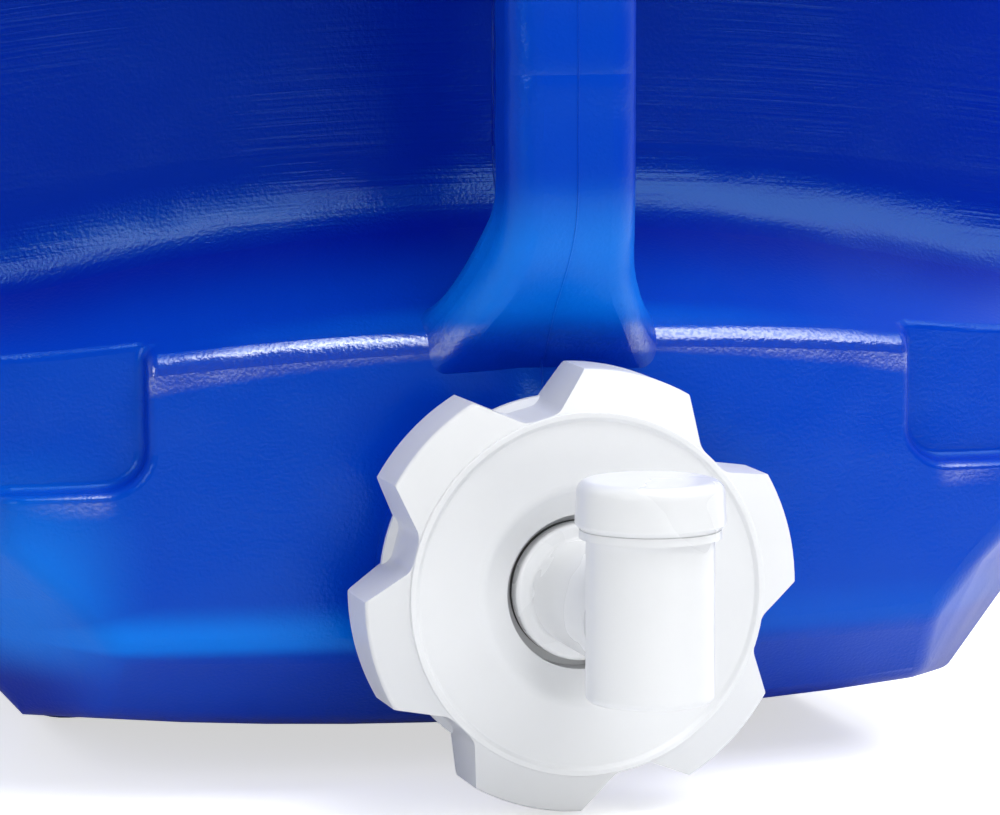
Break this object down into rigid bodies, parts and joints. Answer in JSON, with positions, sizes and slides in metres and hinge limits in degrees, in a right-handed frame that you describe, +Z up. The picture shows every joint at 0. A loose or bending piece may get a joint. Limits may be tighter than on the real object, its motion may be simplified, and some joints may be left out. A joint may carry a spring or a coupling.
{
  "type": "water container",
  "caption": "Rigid blow-moulded water container on its side with a waisted carrying handle, a lug screw cap holding a turn-knob spigot, and a vent cap.",
  "frame": {"origin": "on the floor, under the middle of the whole object as it lies for dispensing", "axes": "+Z up, +Y from the spigot towards the back, +X to the right seen from the front"},
  "size_m": [0.28, 0.4582, 0.284],
  "materials": {
    "body_plastic": "satin",
    "cap_plastic": "satin",
    "spigot_plastic": "satin",
    "seal_rubber": "matte"
  },
  "bodies": {
    "container": {"container": "body_plastic"},
    "cap_seal": {"cap_gasket": "seal_rubber"},
    "lug_cap": {"lug_cap": "cap_plastic"},
    "spigot": {"spigot_body": "spigot_plastic", "spigot_outer_washer": "seal_rubber", "spigot_inner_washer": "seal_rubber", "spigot_nut": "cap_plastic"},
    "valve": {"valve_knob": "spigot_plastic", "valve_upper_ring": "seal_rubber", "valve_lower_ring": "seal_rubber"},
    "vent_seal": {"vent_gasket": "seal_rubber"},
    "vent_cap": {"vent_cap": "cap_plastic"}
  },
  "joints": [
    {"name": "cap_travel", "type": "slide", "parent": "container", "child": "cap_seal", "axis": [0, -1, 0], "range_m": [0, 0.018]},
    {"name": "cap_turn", "type": "hinge", "parent": "cap_seal", "child": "lug_cap", "pos_m": [0, -0.1339, 0.0505], "axis": [0, -1, 0], "range_deg": [0, 1080]},
    {"name": "spigot_turn", "type": "hinge", "parent": "lug_cap", "child": "spigot", "pos_m": [0, -0.1339, 0.0505], "axis": [0, -1, 0], "range_deg": [-180, 180]},
    {"name": "valve_turn", "type": "hinge", "parent": "spigot", "child": "valve", "pos_m": [0, -0.2134, 0.0505], "axis": [0, 0, 1], "range_deg": [0, 90]},
    {"name": "vent_travel", "type": "slide", "parent": "container", "child": "vent_seal", "axis": [0, -1, 0], "range_m": [0, 0.012]},
    {"name": "vent_turn", "type": "hinge", "parent": "vent_seal", "child": "vent_cap", "pos_m": [0, -0.1339, 0.236], "axis": [0, -1, 0], "range_deg": [0, 1080]}
  ],
  "couplings": [
    {"joint": "cap_travel", "follows": "cap_turn", "m_per_rad": 0.000954},
    {"joint": "vent_travel", "follows": "vent_turn", "m_per_rad": 0.000636}
  ]
}
